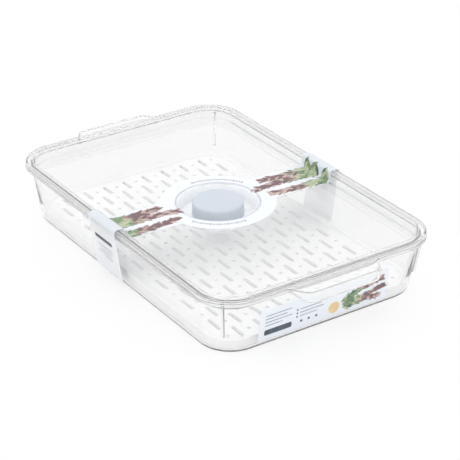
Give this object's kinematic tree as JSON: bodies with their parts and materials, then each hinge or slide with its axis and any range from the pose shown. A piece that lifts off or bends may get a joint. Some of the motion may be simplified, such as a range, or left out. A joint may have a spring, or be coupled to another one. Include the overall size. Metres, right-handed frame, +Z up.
{
  "type": "produce keeper",
  "caption": "Clear lidded fridge keeper with two end handles, a turning vent in a dished lid and a white perforated drain tray inside.",
  "frame": {"origin": "centre of the rectangle that the keeper stands on, at its foot", "axes": "+Z up, +Y along the keeper to its rear handle, -Y the front with the card, X across"},
  "size_m": [0.2122, 0.345, 0.0535],
  "materials": {
    "clear_tub": "clear moulded plastic, gloss",
    "clear_lid": "clear moulded plastic, gloss",
    "white_tray": "white moulded plastic, fine satin",
    "knob_plastic": "grey-blue moulded plastic, satin",
    "gasket_rubber": "pale silicone",
    "shutter_plastic": "natural moulded plastic",
    "screw_steel": "stainless",
    "sleeve_paper": "coated white card, printed",
    "card_paper": "coated pale blue card, printed"
  },
  "bodies": {
    "tub": {"bin": "clear_tub", "sleeve_leg_left": "sleeve_paper", "sleeve_leg_right": "sleeve_paper", "front_card": "card_paper"},
    "cover": {"lid": "clear_lid", "vent_gasket": "gasket_rubber", "sleeve_top": "sleeve_paper"},
    "vent_dial": {"vent_knob": "knob_plastic", "vent_shutter": "shutter_plastic", "vent_screw": "screw_steel"},
    "tray": {"drain_tray": "white_tray"}
  },
  "joints": [
    {"name": "lid_lift", "type": "slide", "parent": "tub", "child": "cover", "axis": [0, 0, 1], "range_m": [0, 0.13]},
    {"name": "tray_lift", "type": "slide", "parent": "tub", "child": "tray", "axis": [0, 0, 1], "range_m": [0, 0.065]},
    {"name": "knob_turn", "type": "hinge", "parent": "cover", "child": "vent_dial", "pos_m": [0, 0, 0.0332], "axis": [0, 0, 1], "range_deg": [0, 45]}
  ],
  "couplings": [
    {"joint": "tray_lift", "follows": "lid_lift", "ratio": 0.5}
  ]
}
